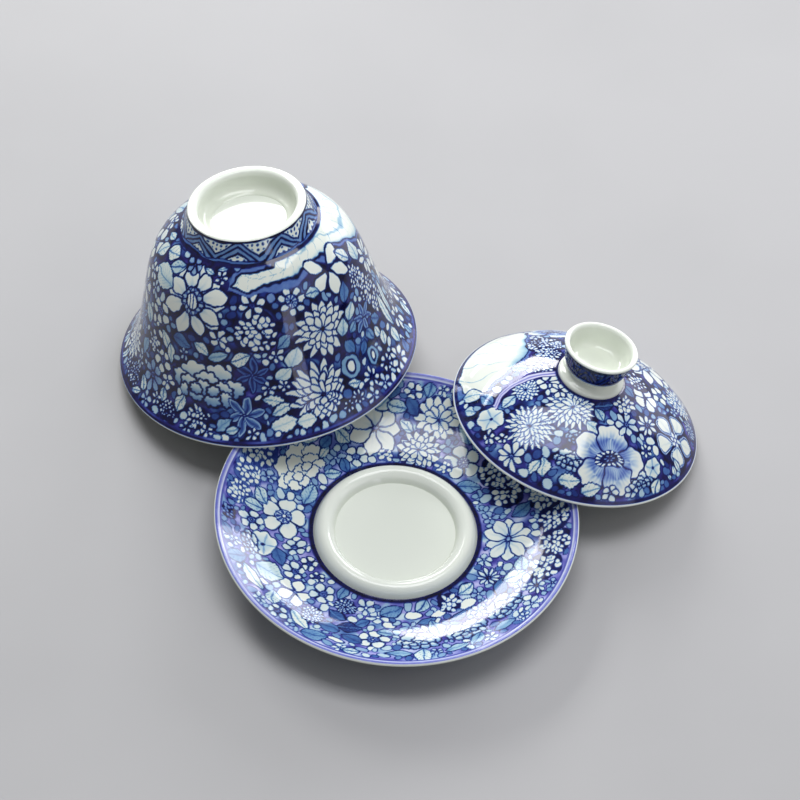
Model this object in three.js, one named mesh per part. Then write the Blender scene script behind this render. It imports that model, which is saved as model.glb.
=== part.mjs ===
// Covered tea bowl (gaiwan) taken apart and laid out on a bench: the saucer stands the right way
// up, the bowl is upside down with its lip leaning on one side of the saucer's rim, and the lid
// leans right side up on the other side. Millimetres, +Z up, bench at z = 0.

import * as THREE from 'three';

// Saucer: a shallow dish with a round-topped collar that locates the bowl's foot.
const SAUCER_RIM_R = 59.0;
const SAUCER_HEIGHT = 15.4;
const SAUCER_FLOOR_TOP = 4.6;
const SAUCER_FLOOR_UNDER = 2.2;
const SAUCER_FLOOR_R = 27.2;
const SEAT_RING_IN_R = 20.2;
const SEAT_RING_OUT_R = 26.6;
const SEAT_RING_RISE = 2.9;
const SAUCER_FOOT_IN_R = 26.8;
const SAUCER_FOOT_OUT_R = 31.0;

// Bowl: flared lip, straight tapering flank, round shoulder down to a tall foot ring.
const BOWL_RIM_R = 50.6;
const BOWL_HEIGHT = 62.3;
const BOWL_BASE_OUT = 55.4;
const BOWL_BASE_IN = 52.4;
const BOWL_BASE_R = 22.2;
const BOWL_LIP_R = 0.9;
const BOWL_FOOT_FACE_R = 19.4;
const BOWL_FOOT_ROOT_R = 21.6;
const BOWL_FOOT_IN_R = 16.2;

// Lid: low dome that drops inside the bowl's lip, with a cup-shaped knob on a plain collar.
const LID_RIM_R = 42.3;
const LID_TOP = 19.2;
const LID_TOP_IN = 17.1;
const LID_FLAT_R = 11.6;
const LID_LIP_R = 0.85;
const COLLAR_R = 11.2;
const COLLAR_NECK_R = 8.8;
const COLLAR_RISE = 2.9;
const KNOB_BASE_R = 9.0;
const KNOB_RIM_R = 12.5;
const KNOB_HEIGHT = 9.8;
const KNOB_CUP_R = 10.9;
const KNOB_CUP_FLOOR = 2.5;

// Film of slip between two luted pieces.
const SLIP = 0.3;

// How the loose pieces lie: centre of the mouth, lean from upright and compass of the lean.
const BOWL_AT = [-48.4, 69.3];
const BOWL_LEAN = 11.5;
const BOWL_LEAN_TOWARDS = 138.0;
const LID_AT = [56.6, 49.7];
const LID_LEAN = 13.6;
const LID_LEAN_TOWARDS = 44.9;

const SEGMENTS_LARGE = 56;
const SEGMENTS_RING = 48;
const SEGMENTS_KNOB = 40;

const PAINTED = { color: 0x3c5aa6, roughness: 0.12, metalness: 0.0 };
const WHITE = { color: 0xe3e8e2, roughness: 0.1, metalness: 0.0 };
const BISCUIT = { color: 0xd8d2c4, roughness: 0.6, metalness: 0.0 };

const point = (r, h) => new THREE.Vector2(r, h);

// Smooth line through the given stations.
function sweep(stations, steps) {
  const curve = new THREE.SplineCurve(stations.map(([r, h]) => point(r, h)));
  return curve.getPoints(steps);
}

// Part of a circle in the profile plane, end points left out.
function bead(centreR, centreH, radius, fromDeg, toDeg, steps) {
  const list = [];
  for (let i = 1; i < steps; i += 1) {
    const a = THREE.MathUtils.degToRad(fromDeg + ((toDeg - fromDeg) * i) / steps);
    list.push(point(centreR + radius * Math.cos(a), centreH + radius * Math.sin(a)));
  }
  return list;
}

// Solid of revolution about +Z from a profile of (radius, height).
function turned(name, profile, segments, finish) {
  const geometry = new THREE.LatheGeometry(profile, segments);
  geometry.rotateX(Math.PI / 2);
  const mesh = new THREE.Mesh(geometry, new THREE.MeshStandardMaterial(finish));
  mesh.name = name;
  return mesh;
}

// Ring of revolution: the loop is closed back on its first point.
function ring(name, loop, finish) {
  const points = loop.map(([r, h]) => point(r, h));
  points.push(points[0].clone());
  return turned(name, points, SEGMENTS_RING, finish);
}

function saucer() {
  const under = sweep([
    [SAUCER_FLOOR_R + 4.0, SAUCER_FLOOR_UNDER],
    [36.5, 3.0],
    [43.0, 5.0],
    [49.5, 8.0],
    [55.0, 11.3],
    [SAUCER_RIM_R - 0.3, SAUCER_HEIGHT - 1.2],
  ], 8);
  const lip = bead(SAUCER_RIM_R - 0.85, SAUCER_HEIGHT - 0.85, 0.85, -25, 135, 4);
  const inside = sweep([
    [SAUCER_RIM_R - 1.9, SAUCER_HEIGHT - 0.9],
    [53.0, 12.4],
    [47.0, 9.2],
    [40.0, 6.6],
    [33.0, 5.0],
    [SAUCER_FLOOR_R, SAUCER_FLOOR_TOP],
  ], 8);
  const dish = [point(0, SAUCER_FLOOR_UNDER), ...under, ...lip, ...inside, point(0, SAUCER_FLOOR_TOP)];

  const seat = SAUCER_FLOOR_TOP + SLIP;
  const crest = seat + SEAT_RING_RISE;
  const middle = (SEAT_RING_IN_R + SEAT_RING_OUT_R) / 2;
  const foot = SAUCER_FLOOR_UNDER - SLIP;

  const group = new THREE.Group();
  group.add(turned('saucer_dish', dish, SEGMENTS_LARGE, PAINTED));
  group.add(ring('saucer_seat_ring', [
    [SEAT_RING_IN_R + 0.4, seat],
    [SEAT_RING_OUT_R - 0.4, seat],
    [SEAT_RING_OUT_R, seat + 0.6],
    [SEAT_RING_OUT_R - 1.0, crest - 0.8],
    [middle + 0.8, crest],
    [middle - 0.8, crest],
    [SEAT_RING_IN_R + 0.9, crest - 0.9],
    [SEAT_RING_IN_R, seat + 0.7],
  ], WHITE));
  group.add(ring('saucer_foot_ring', [
    [SAUCER_FOOT_IN_R + 1.0, 0],
    [SAUCER_FOOT_OUT_R - 0.9, 0],
    [SAUCER_FOOT_OUT_R - 0.3, 0.5],
    [SAUCER_FOOT_OUT_R, foot],
    [SAUCER_FOOT_IN_R, foot],
    [SAUCER_FOOT_IN_R + 0.3, 0.5],
  ], BISCUIT));
  return group;
}

// The bowl is built mouth down: height runs from the lip up to the face of the foot.
function bowl() {
  const inside = sweep([
    [0, BOWL_BASE_IN],
    [14.0, 52.0],
    [24.0, 49.6],
    [30.2, 44.8],
    [33.7, 37.6],
    [36.4, 28.2],
    [39.2, 18.4],
    [42.3, 10.4],
    [45.8, 4.9],
    [BOWL_RIM_R - 2 * BOWL_LIP_R, 1.0],
  ], 12);
  const lip = bead(BOWL_RIM_R - BOWL_LIP_R, BOWL_LIP_R, BOWL_LIP_R, 180, 360, 4);
  const outside = sweep([
    [BOWL_RIM_R, 1.0],
    [47.7, 4.2],
    [44.4, 9.5],
    [41.4, 18.0],
    [38.6, 28.0],
    [35.9, 38.0],
    [32.4, 46.0],
    [27.0, 52.0],
    [BOWL_BASE_R, BOWL_BASE_OUT],
  ], 12);
  const wall = [...inside, ...lip, ...outside, point(0, BOWL_BASE_OUT)];
  const root = BOWL_BASE_OUT + SLIP;

  const group = new THREE.Group();
  group.add(turned('bowl_wall', wall, SEGMENTS_LARGE, PAINTED));
  group.add(ring('bowl_foot_ring', [
    [BOWL_FOOT_IN_R - 1.2, root],
    [BOWL_FOOT_ROOT_R, root],
    [BOWL_FOOT_ROOT_R - 0.7, root + 2.2],
    [BOWL_FOOT_FACE_R + 0.1, BOWL_HEIGHT - 0.6],
    [BOWL_FOOT_FACE_R - 0.6, BOWL_HEIGHT],
    [BOWL_FOOT_IN_R + 0.7, BOWL_HEIGHT],
    [BOWL_FOOT_IN_R, BOWL_HEIGHT - 0.7],
    [BOWL_FOOT_IN_R - 0.4, root + 1.8],
  ], PAINTED));
  return group;
}

// The lid is built mouth down with its knob on top.
function lid() {
  const inside = sweep([
    [0, LID_TOP_IN],
    [14.4, 15.8],
    [21.8, 12.9],
    [29.1, 9.0],
    [35.0, 5.1],
    [LID_RIM_R - 2 * LID_LIP_R, 0.9],
  ], 9);
  const lip = bead(LID_RIM_R - LID_LIP_R, LID_LIP_R, LID_LIP_R, 180, 360, 4);
  const outside = sweep([
    [LID_RIM_R, 0.9],
    [39.9, 3.3],
    [36.2, 6.9],
    [30.0, 11.1],
    [22.5, 15.0],
    [15.5, 17.8],
    [LID_FLAT_R, LID_TOP],
  ], 9);
  const dome = [...inside, ...lip, ...outside, point(0, LID_TOP)];

  const base = LID_TOP + SLIP;
  const neck = base + COLLAR_RISE;
  const collar = [
    point(0, base),
    point(COLLAR_R - 0.5, base),
    point(COLLAR_R, base + 0.4),
    point(COLLAR_R - 0.2, base + 1.0),
    point(COLLAR_NECK_R + 0.7, base + 1.8),
    point(COLLAR_NECK_R, neck),
    point(0, neck),
  ];

  const under = neck + SLIP;
  const top = under + KNOB_HEIGHT;
  const knob = [
    point(0, under),
    point(KNOB_BASE_R, under),
    point(KNOB_BASE_R + 1.2, under + 1.4),
    point(KNOB_BASE_R + 2.1, under + 4.2),
    point(KNOB_BASE_R + 2.9, under + 7.2),
    point(KNOB_RIM_R, top - 0.6),
    point(KNOB_RIM_R - 0.4, top - 0.1),
    point(KNOB_CUP_R + 0.6, top),
    point(KNOB_CUP_R, top - 0.5),
    point(KNOB_CUP_R - 0.7, top - 3.0),
    point(KNOB_CUP_R - 1.6, under + KNOB_CUP_FLOOR + 1.5),
    point(KNOB_CUP_R - 3.2, under + KNOB_CUP_FLOOR + 0.3),
    point(0, under + KNOB_CUP_FLOOR),
  ];

  const group = new THREE.Group();
  group.add(turned('lid_dome', dome, SEGMENTS_LARGE, PAINTED));
  group.add(turned('lid_knob_collar', collar, SEGMENTS_KNOB, WHITE));
  group.add(turned('lid_knob', knob, SEGMENTS_KNOB, PAINTED));
  return group;
}

// Leans a loose piece over and sets the low side of its lip down on the bench.
function lean(group, at, leanDeg, towardsDeg) {
  const compass = THREE.MathUtils.degToRad(towardsDeg);
  const axis = new THREE.Vector3(-Math.sin(compass), Math.cos(compass), 0);
  group.quaternion.setFromAxisAngle(axis, THREE.MathUtils.degToRad(leanDeg));
  group.position.set(at[0], at[1], 0);
  group.updateMatrixWorld(true);
  group.position.z = -new THREE.Box3().setFromObject(group, true).min.z;
  return group;
}

const gaiwan = new THREE.Group();
gaiwan.name = 'gaiwan';
gaiwan.add(saucer());
gaiwan.add(lean(bowl(), BOWL_AT, BOWL_LEAN, BOWL_LEAN_TOWARDS));
gaiwan.add(lean(lid(), LID_AT, LID_LEAN, LID_LEAN_TOWARDS));

// Origin on the bench under the middle of the whole layout.
gaiwan.updateMatrixWorld(true);
const extent = new THREE.Box3().setFromObject(gaiwan, true);
const centre = extent.getCenter(new THREE.Vector3());
gaiwan.position.set(-centre.x, -centre.y, -extent.min.z);
gaiwan.updateMatrixWorld(true);

export default gaiwan;
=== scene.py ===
"""Blue-and-white gaiwan, taken apart: upturned bowl and leaning lid on a dished saucer."""
import math

import bpy
import numpy as np
from mathutils import Matrix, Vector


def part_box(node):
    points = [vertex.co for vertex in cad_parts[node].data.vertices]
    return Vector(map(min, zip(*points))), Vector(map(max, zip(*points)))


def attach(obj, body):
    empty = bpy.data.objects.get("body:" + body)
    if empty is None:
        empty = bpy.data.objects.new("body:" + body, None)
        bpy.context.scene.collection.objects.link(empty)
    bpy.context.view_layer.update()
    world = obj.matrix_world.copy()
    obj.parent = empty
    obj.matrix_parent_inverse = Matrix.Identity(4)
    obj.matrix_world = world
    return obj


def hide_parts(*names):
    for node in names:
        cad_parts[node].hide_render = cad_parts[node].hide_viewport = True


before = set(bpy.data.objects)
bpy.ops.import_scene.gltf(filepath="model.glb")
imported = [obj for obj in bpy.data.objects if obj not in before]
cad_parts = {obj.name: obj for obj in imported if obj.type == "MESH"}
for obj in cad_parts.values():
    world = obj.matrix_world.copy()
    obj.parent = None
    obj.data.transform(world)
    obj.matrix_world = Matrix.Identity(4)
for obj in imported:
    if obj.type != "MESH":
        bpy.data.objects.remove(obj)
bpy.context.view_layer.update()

MM = 0.001
TAU = 2.0 * math.pi
POLE = 1e-6  # a smaller radius is a point on the axis
DARK = 0.97  # ink strength of an outline
TAKEN = 0.6  # marks ground that the small flowers keep off
BARE = 0.1  # ground painted less than this is free for the small flowers
COVERED = 0.5  # ground painted more than this counts as drawn on
SPOTS_TRIED = 7  # bare spots compared for each small flower

# ---------------------------------------------------------------- profiles, in millimetres
# (radius, height) stations of each turned piece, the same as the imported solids.
BOWL_OUT = [(50.6, 1.0), (47.7, 4.2), (44.4, 9.5), (41.4, 18.0), (38.6, 28.0),
            (35.9, 38.0), (32.4, 46.0), (27.0, 52.0), (22.2, 55.4)]
BOWL_IN = [(0.0, 52.4), (14.0, 52.0), (24.0, 49.6), (30.2, 44.8), (33.7, 37.6),
           (36.4, 28.2), (39.2, 18.4), (42.3, 10.4), (45.8, 4.9), (48.8, 1.0)]
LID_OUT = [(42.3, 0.9), (39.9, 3.3), (36.2, 6.9), (30.0, 11.1), (22.5, 15.0),
           (15.5, 17.8), (11.6, 19.2)]
LID_IN = [(0.0, 17.1), (14.4, 15.8), (21.8, 12.9), (29.1, 9.0), (35.0, 5.1), (40.6, 0.9)]
SAUCER_IN = [(57.3, 14.75), (53.0, 12.4), (47.0, 9.2), (40.0, 6.6), (33.0, 5.0), (27.2, 4.6)]
SAUCER_UNDER = [(31.2, 2.2), (36.5, 3.0), (43.0, 5.0), (49.5, 8.0), (55.0, 11.3), (58.65, 14.0)]

# Lean in degrees, and the direction it leans in.
BOWL_LEAN = (11.5, 138.0)
LID_LEAN = (13.6, 44.9)


def catmull(stations, steps):
    """Smooth line through the stations, as (radius, height) rows."""
    p = np.array(stations, float)
    n = len(p) - 1
    out = []
    for k in range(steps + 1):
        t = k / steps * n
        i = min(int(t), n - 1)
        f = t - i
        p0, p1, p2, p3 = p[max(i - 1, 0)], p[i], p[i + 1], p[min(i + 2, n)]
        v0, v1 = (p2 - p0) / 2, (p3 - p1) / 2
        cubic = (2 * p1 - 2 * p2 + v0 + v1) * f ** 3
        out.append(cubic + (-3 * p1 + 3 * p2 - 2 * v0 - v1) * f * f + v0 * f + p1)
    return np.array(out)


def smooth(stations, step):
    """Smooth line through the stations, resampled at an even spacing."""
    line = catmull(stations, 40 * len(stations))
    run = np.concatenate([[0.0], np.cumsum(np.hypot(*np.diff(line, axis=0).T))])
    s = np.linspace(0.0, run[-1], max(2, int(round(run[-1] / step)) + 1))
    return np.stack([np.interp(s, run, line[:, 0]), np.interp(s, run, line[:, 1])], 1)


def arc(centre_r, centre_h, radius, a0, a1, steps=8):
    a = np.radians(np.linspace(a0, a1, steps + 1)[1:-1])
    return np.stack([centre_r + radius * np.cos(a), centre_h + radius * np.sin(a)], 1)


def rounded(points, radius, steps=4):
    """A closed loop of straight sides with its corners rounded."""
    p = np.array(points, float)
    out = []
    for i in range(len(p)):
        a, b, c = p[i - 1], p[i], p[(i + 1) % len(p)]
        cut = min(radius, 0.48 * np.linalg.norm(b - a), 0.48 * np.linalg.norm(c - b))
        s = b + (a - b) / np.linalg.norm(a - b) * cut
        e = b + (c - b) / np.linalg.norm(c - b) * cut
        for t in np.linspace(0, 1, steps + 1):
            out.append((1 - t) ** 2 * s + 2 * t * (1 - t) * b + t * t * e)
    return np.array(out)


def turned(rows, th):
    """Points of the profile rows turned round the axis to each angle of th."""
    r, h = rows[:, 0][:, None], rows[:, 1][:, None]
    return np.stack([r * np.cos(th), r * np.sin(th), h + 0 * th], -1).reshape(-1, 3)


def lean_matrix(lean):
    deg, towards = (math.radians(a) for a in lean)
    return np.array(Matrix.Rotation(deg, 3, (-math.sin(towards), math.cos(towards), 0.0)))


# ---------------------------------------------------------------- painting
def ramp(x, lo, hi):
    """0 at lo and 1 at hi, with a soft start and end."""
    t = np.clip((x - lo) / (hi - lo), 0.0, 1.0)
    return t * t * (3 - 2 * t)


class Waves:
    """Seeded smooth noise made of plane waves, roughly -1 to 1."""

    def __init__(self, seed, size, count=9):
        rng = np.random.default_rng(seed)
        d = rng.normal(size=(count, 3))
        d /= np.linalg.norm(d, axis=1)[:, None]
        self.k = d * (TAU / size * rng.uniform(0.6, 1.6, count))[:, None]
        self.ph = rng.uniform(0, TAU, count)
        self.scale = 1.4 / math.sqrt(count)

    def __call__(self, p):
        return np.sin(p @ self.k.T + self.ph).sum(1) * self.scale


class Surface:
    """A painted surface of revolution: ink strength and tints at each point of its grid."""

    SOFT = 0.16  # half the softness of an edge, in millimetres
    bold = 1.0  # factor on the width of the outlines

    def __init__(self, rows, around, seed, ground=0.9, mottle=0.13, violet=0.25):
        self.rows, self.around = rows, around
        self.p = turned(rows, np.arange(around) * TAU / around)
        self.radius = np.hypot(self.p[:, 0], self.p[:, 1])
        broad = [Waves(seed + k, 9.0) for k in range(3)]
        fine = [Waves(seed + 10 + k, 3.2) for k in range(3)]
        shift = np.stack([0.26 * a(self.p) + 0.09 * b(self.p) for a, b in zip(broad, fine)], -1)
        self.q = self.p + shift
        patches = ramp(Waves(seed + 23, 9.0)(self.p), 0.45, 1.1)
        mottled = ground + mottle * Waves(seed + 20, 6.0)(self.p)
        self.ink = np.clip(mottled - 0.3 * patches * ground, 0.2, 1.0)
        self.teal = 0.12 + 0.5 * patches
        self.violet = np.clip(violet + 0.3 * Waves(seed + 21, 26.0)(self.p), 0, 1) * (1 - 0.8 * patches)
        self.done = np.zeros(len(self.p))
        self.rng = np.random.default_rng(seed + 50)
        d = np.gradient(rows, axis=0)
        self.dirs = d / np.hypot(d[:, 0], d[:, 1])[:, None]

    def angle(self):
        """Angle of each point in degrees, 0 to 360, a little wavy as a hand would draw."""
        return np.degrees(np.arctan2(self.q[:, 1], self.q[:, 0])) % 360

    def spot(self, angle, at, axis):
        """Centre and tangents at an angle and a radius (axis 0) or height (axis 1)."""
        i = int(np.argmin(abs(self.rows[:, axis] - at)))
        return self.frame_at(i, math.radians(angle))

    def frame_at(self, i, a):
        r, h = self.rows[i]
        dr, dh = self.dirs[i]
        centre = np.array([r * math.cos(a), r * math.sin(a), h])
        sideways = np.array([-math.sin(a), math.cos(a), 0.0])
        along = np.array([dr * math.cos(a), dr * math.sin(a), dh])
        return centre, sideways, along

    def window(self, c, reach):
        """Indices of a block of the grid round c that holds every point within reach."""
        rc, hc = math.hypot(c[0], c[1]), c[2]
        rows = np.nonzero(np.hypot(self.rows[:, 0] - rc, self.rows[:, 1] - hc) < reach)[0]
        if not len(rows):
            return np.zeros(0, int)
        low = max(float(self.rows[rows, 0].min()), 1.0)
        half = math.pi if reach > 1.5 * low else 2 * math.asin(min(1.0, reach / (2 * low)))
        k = int(math.ceil(half / TAU * self.around)) + 1
        mid = int(round(math.atan2(c[1], c[0]) / TAU * self.around))
        every = 2 * k + 1 >= self.around
        cols = np.arange(self.around) if every else (mid + np.arange(-k, k + 1)) % self.around
        return (rows[:, None] * self.around + cols[None, :]).ravel()

    def patch(self, spot, reach, turn=0.0):
        """Points within reach of the spot, with flat coordinates there (right, up)."""
        c, et, em = spot
        idx = self.window(c, reach + 1.4)
        d = self.q[idx] - c
        d2 = (d ** 2).sum(1)
        keep = d2 < (reach + 0.6) ** 2
        idx, d, d2 = idx[keep], d[keep], d2[keep]
        u, v = d @ et, d @ em
        s = np.clip(np.sqrt(d2) / np.maximum(np.hypot(u, v), 1e-6), 1.0, 1.6)
        return (idx, *spun(u * s, v * s, math.radians(turn)))

    def lay(self, idx, dist, fill, line=0.4, line_ink=DARK, teal=0.2, violet=0.06):
        """Brushes a shape on: dist is the depth inside its edge, in millimetres."""
        k = ramp(dist, -self.SOFT, self.SOFT)
        if not k.any():
            return
        inner = ramp(dist, line * self.bold - self.SOFT, line * self.bold + self.SOFT)
        ink = line_ink + (fill - line_ink) * inner
        self.ink[idx] += (ink - self.ink[idx]) * k
        self.teal[idx] += (teal - self.teal[idx]) * k
        self.violet[idx] += (violet - self.violet[idx]) * k
        self.done[idx] = np.maximum(self.done[idx], k)

    def fade(self, k, ink, teal=None, violet=None):
        """Blends ink and tints over the whole surface by the weight k."""
        self.ink += (ink - self.ink) * k
        if teal is not None:
            self.teal += (teal - self.teal) * k
        if violet is not None:
            self.violet += (violet - self.violet) * k

    def first_row(self, axis, limit, below=False):
        """The first row whose radius or height has passed the limit."""
        passed = self.rows[:, axis] < limit if below else self.rows[:, axis] > limit
        return int(np.argmax(passed)) if passed.any() else len(self.rows) - 1

    def colours(self):
        return np.stack([self.ink, self.teal, self.violet, np.ones(len(self.ink))], -1)


def petal(x, y, length, w, a, b):
    """Depth inside a petal that runs along x from 0 to length, and its along and across."""
    t = np.clip(x / length, 1e-3, 1 - 1e-3)
    s = np.sin(np.pi * t ** a)
    f = s ** b
    slope = b * s ** (b - 1) * np.cos(np.pi * t ** a) * np.pi * a * t ** (a - 1)
    d = (f - np.abs(y) / w) / np.hypot(slope / length, 1 / w)
    d = np.where(x < 0, -np.hypot(x, y), np.where(x > length, -np.hypot(x - length, y), d))
    return d, t, y / w


def spun(u, v, th):
    return u * math.cos(th) + v * math.sin(th), -u * math.sin(th) + v * math.cos(th)


def rosette(S, spot, n, r0, r1, w, a=1.3, b=0.6, turn=0.0, line=0.4, tone=0.04, base=0.22, vein=0.0,
            teal=0.3, line_ink=DARK, sway=0.06, skew=0.0, skew_to=0.0, squash=1.0):
    """A ring of petals. Skew makes those towards skew_to longer."""
    idx, u, v = S.patch(spot, r1 * (1.12 + skew))
    v = v / squash
    for k in S.rng.permutation(n):
        th = TAU * k / n + turn + S.rng.normal() * sway * 2.2 / math.sqrt(n)
        reach = r1 * (1 + S.rng.normal() * sway) * (1 + skew * math.cos(th - skew_to))
        x, y = spun(u, v, th)
        d, t, s = petal(x - r0, y, reach - r0, w, a, b)
        fill = tone + S.rng.uniform(0, 0.05) + base * np.exp(-t / 0.2)
        fill = fill + vein * np.exp(-(s / 0.16) ** 2) * (1 - t)
        S.lay(idx, d, fill, line, line_ink, teal, 0.05)


def spray(S, spot, R, w, towards):
    """Pointed petals from one point, each in its own direction in degrees."""
    idx, u, v = S.patch(spot, R * 1.1)
    for deg in towards:
        x, y = spun(u, v, math.radians(deg))
        d, t, _ = petal(x - 0.7, y, R - 0.7, w, 1.25, 0.6)
        S.lay(idx, d, 0.03 + 0.14 * np.exp(-t / 0.2), 0.45, teal=0.5)


def disc(S, spot, radius, fill=0.1, line=0.35, wave=0.0, lobes=8, teal=0.2, phase=0.0, squash=1.0,
         turn=0.0, grad=0.0, stripes=0.0, off=(0.0, 0.0), shade=0.0):
    """A round shape, which can be waved, squashed, striped or shaded."""
    idx, u, v = S.patch(spot, radius * (1.3 + wave) + math.hypot(*off), turn)
    u, v = u - off[0], (v - off[1]) / squash
    rho, ang = np.hypot(u, v), np.arctan2(v, u)
    edge = radius * (1 + wave * (np.abs(np.cos(lobes * (ang + phase) / 2)) * 2 - 1))
    f = fill + grad * np.clip(1 - rho / radius, 0, 1) + shade * np.clip(0.5 - v / radius / 1.6, 0, 1)
    if stripes:
        bands = np.abs(np.sin(np.pi * (u / stripes + 0.5)))
        f = np.clip(f + 0.85 * ramp(bands, 0.6, 0.3), 0, 0.95)
    S.lay(idx, (edge - rho) * min(1.0, squash + 0.15), f, line, teal=teal, violet=0.05)


def leaf(S, spot, length, w, turn=0.0, tone=0.06, veins=1.6, vein_ink=0.45, b=0.85, line=0.38, jag=0.0):
    """A pointed leaf with a midrib and side veins, its middle on the spot."""
    idx, u, v = S.patch(spot, length * 0.62, turn)
    x = u + length / 2
    d, t, s = petal(x, v / (1 + jag * np.sin(x * TAU / (length / 6.5))), length, w, 1.0, b)
    side = np.abs(np.sin(np.pi * (x - np.abs(v) * 0.9) / veins))
    fill = tone + 0.22 * np.exp(-np.abs(s) / 0.4) * (1 - t)
    lines = np.maximum(ramp(side, 0.24, 0.05) * 0.6, ramp(np.abs(v), 0.28, 0.1))
    S.lay(idx, d, fill + (vein_ink - fill) * lines, line, teal=0.55, violet=0.0)


def chrysanthemum(S, spot, R, rings=4, dense=1.0, turn=0.0, tone=0.03, line=0.3, ground=0.95,
                  skew=0.0, skew_to=0.0, slim=1.0):
    """Rings of narrow petals, the shorter ones over the longer."""
    if not skew:
        disc(S, spot, R * 0.9, ground, 0.1, wave=0.05, lobes=12)
    for k in range(rings):
        f = 1.0 - 0.76 * k / rings
        n = max(7, int(round(2 + 15 * f * dense)))
        r1 = R * f
        w = min(1.12 * math.pi * r1 * 0.72 / n, 0.2 * R) * slim
        rosette(S, spot, n, r1 * (0.04 + 0.1 * (k < rings - 1)), r1, w, 1.4, 0.6, k * math.pi / n + turn,
                line, tone, 0.3, 0.06, sway=0.045, skew=skew, skew_to=skew_to)


def daisy(S, spot, R, n=9, turn=0.0, tone=0.03):
    w = min(math.pi * R * 0.68 / n, 0.36 * R)
    rosette(S, spot, n, R * 0.1, R, w, 1.45, 0.55, turn, 0.36, tone, 0.25, 0.1)
    disc(S, spot, R * 0.2, 0.25, 0.3)
    disc(S, spot, R * 0.2 * 0.45, 0.9, 0.1)


def plum(S, spot, R, n=5, turn=0.0, tone=0.04, core=0.34):
    """Round petals and a ring of stamens."""
    rosette(S, spot, n, R * 0.05, R, 2.15 * R / n, 1.75, 0.5, turn, 0.4, tone, 0.3, 0.05, 0.45, sway=0.03)
    disc(S, spot, R * core, 0.15, wave=0.05, lobes=9)
    rosette(S, spot, 9, R * 0.1, R * core * 0.9, 0.05 * R, line=0.05, tone=0.7, base=0, sway=0.0)
    disc(S, spot, R * 0.12, 0.08, 0.3)


def lotus(S, spot, R, turn=0.0):
    """Broad pointed petals round a striped bud."""
    rosette(S, spot, 9, R * 0.2, R * 0.95, 0.24 * R, 1.15, 0.8, turn + math.pi / 9, 0.45, 0.04, 0.3, 0.08)
    rosette(S, spot, 8, R * 0.2, R, 0.25 * R, 1.2, 0.75, turn, 0.45, 0.02, 0.25, 0.1)
    disc(S, spot, R * 0.36, 0.42, 0.4, 0.05, 9, 0.4)
    rosette(S, spot, 11, R * 0.12, R * 0.35, 0.07 * R, line=0.2, tone=0.22, base=0.3, sway=0.02)
    disc(S, spot, R * 0.21, 0.06, 0.4, stripes=R * 0.105, squash=1.12)


# Right, up and radius of a peony's petals, as shares of its size.
PEONY = [(-0.34, 0.34, 0.50), (0.36, 0.36, 0.50), (0.78, 0.02, 0.36), (-0.78, 0.0, 0.34),
         (0.02, 0.12, 0.40), (0.5, -0.12, 0.33), (-0.5, -0.1, 0.33), (-0.62, -0.42, 0.26),
         (0.58, -0.46, 0.26), (-0.28, -0.5, 0.27), (0.2, -0.52, 0.28), (-0.05, -0.12, 0.29),
         (0.22, -0.2, 0.22), (-0.3, -0.22, 0.22)]


def peony(S, spot, R, turn=0.0, tone=0.03, squash=0.85, shade=0.42, line=0.52):
    """Overlapping scalloped petals, the far ones larger."""
    a = math.radians(turn)
    for k, (x, y, size) in enumerate(PEONY):
        x, y = R * x, R * y * squash
        off = (x * math.cos(a) - y * math.sin(a), x * math.sin(a) + y * math.cos(a))
        disc(S, spot, R * size, tone, line, 0.085, 7 + k % 3, 0.45, k * 0.9, 0.9, off=off, shade=shade)


def hibiscus(S, spot, R, turn=0.0):
    """Five broad overlapping petals, washed blue towards a wide dark eye ringed with stamens."""
    idx, u, v = S.patch(spot, R * 1.2)
    run = np.hypot(u, v) / R
    streak = 0.07 * np.sin(np.arctan2(v, u) * 41) * ramp(run, 1.0, 0.5)
    for th in (2.57, -2.46, -0.19, -1.26, 1.35):
        th = th + turn
        x, y = spun(u - 0.6 * R * math.cos(th), v - 0.6 * R * math.sin(th), th)
        rho, ang = np.hypot(x, y * 0.93), np.arctan2(y, x)
        edge = R * 0.44 * (1 + 0.05 * np.cos(ang * 7) + 0.03 * np.cos(ang * 4 + th))
        wash = 0.5 * ramp(run, 1.02, 0.4) * (0.75 + 0.25 * np.cos(ang * 3))
        S.lay(idx, edge - rho, np.clip(0.03 + wash + streak, 0.02, 1), 0.5, teal=0.1, violet=0.12)
    disc(S, spot, R * 0.46, 0.93, 0.2, squash=0.55)
    stamens = dict(a=1.0, b=0.5, line=0.1, base=0, sway=0.02, squash=0.56)
    rosette(S, spot, 15, R * 0.29, R * 0.45, 0.055 * R, tone=0.0, line_ink=0.6, **stamens)
    rosette(S, spot, 6, R * 0.08, R * 0.2, 0.04 * R, tone=0.3, line_ink=0.7, **stamens)


def orchid(S, spot, R, turn=0.0):
    """Five egg-shaped petals, each with a second outline inside the first."""
    disc(S, spot, R * 0.98, 0.96, 0.1, 0.08, 5, phase=-turn)
    idx, u, v = S.patch(spot, R * 1.1)
    for k in range(5):
        x, y = spun(u, v, TAU * k / 5 + turn)
        d, t, s = petal(x - 0.14 * R, y, R * 0.86, 0.38 * R, 1.45, 0.6)
        S.lay(idx, d, 0.06, 0.25, teal=0.3)
        fill = 0.02 + 0.25 * np.exp(-t / 0.2) + 0.1 * np.exp(-(s / 0.12) ** 2)
        S.lay(idx, d - 0.62, fill, 0.3, teal=0.3)
    rosette(S, spot, 6, 0, R * 0.26, 0.07 * R, line=0.12, tone=0.1, base=0)
    disc(S, spot, R * 0.1, 0.1, 0.3)


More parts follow.
